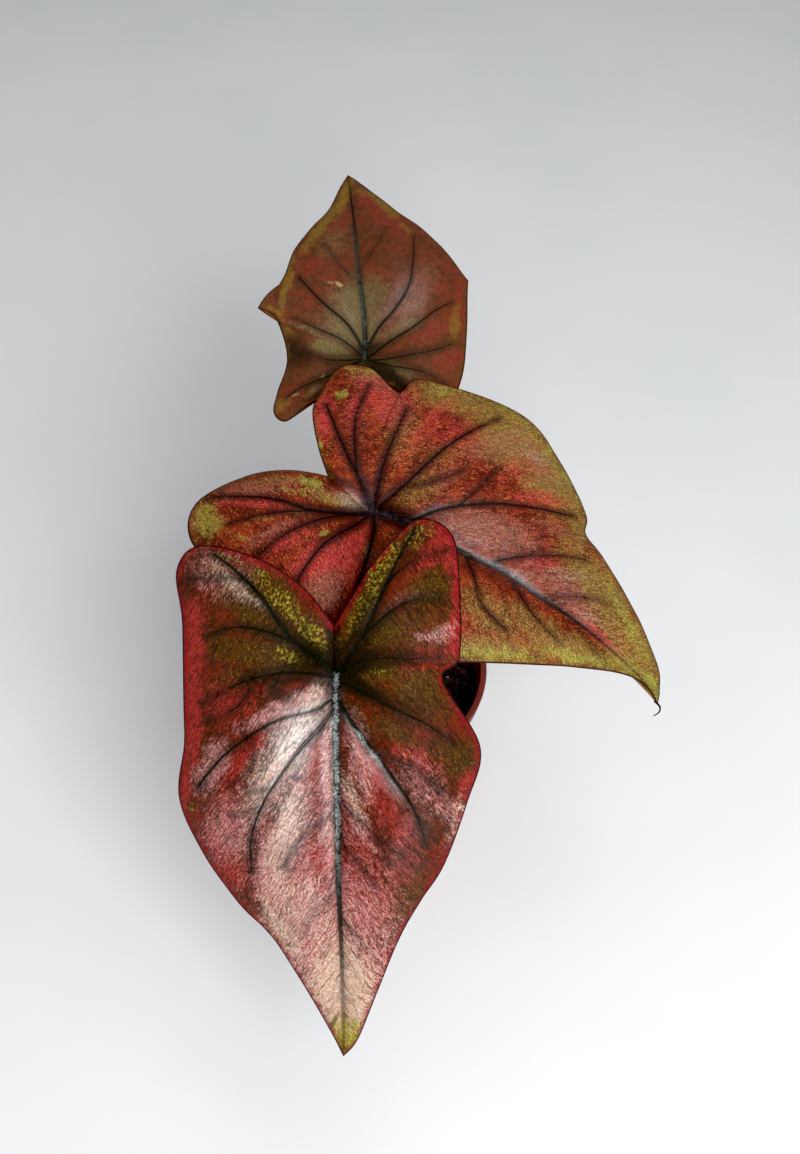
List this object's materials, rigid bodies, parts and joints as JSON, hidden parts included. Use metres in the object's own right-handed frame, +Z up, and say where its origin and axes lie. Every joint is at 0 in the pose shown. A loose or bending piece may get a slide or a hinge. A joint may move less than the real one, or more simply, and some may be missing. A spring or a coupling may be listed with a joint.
{
  "type": "potted caladium",
  "caption": "Caladium house plant with broad heart-shaped red and bronze leaves on slender stalks, rooted in a small tapered nursery pot.",
  "frame": {"origin": "centre of the pot's flat underside", "axes": "+Z up out of the pot, -Y towards the tip of the front leaf, +Y towards the tip of the back leaf, +X towards the tip of the middle leaf"},
  "size_m": [0.1937, 0.3775, 0.2068],
  "materials": {
    "pot_plastic": "dull red-brown moulded plastic",
    "potting_mix": "damp dark bark mix",
    "tuber_skin": "rough brown skin",
    "leaf_stalk": "smooth dark bronze, satin",
    "papery_sheath": "dry tan, matte",
    "leaf_blade": "glossy, red and bronze mottled with olive and pink"
  },
  "bodies": {
    "root": {"pot": "pot_plastic", "soil_root_ball": "potting_mix", "tuber": "tuber_skin", "leaf_stalk_front": "leaf_stalk", "leaf_stalk_middle": "leaf_stalk", "leaf_stalk_back": "leaf_stalk", "leaf_sheath_front": "papery_sheath", "leaf_sheath_middle": "papery_sheath", "leaf_sheath_back": "papery_sheath", "leaf_blade_front": "leaf_blade", "leaf_blade_middle": "leaf_blade", "leaf_blade_back": "leaf_blade"}
  },
  "joints": []
}
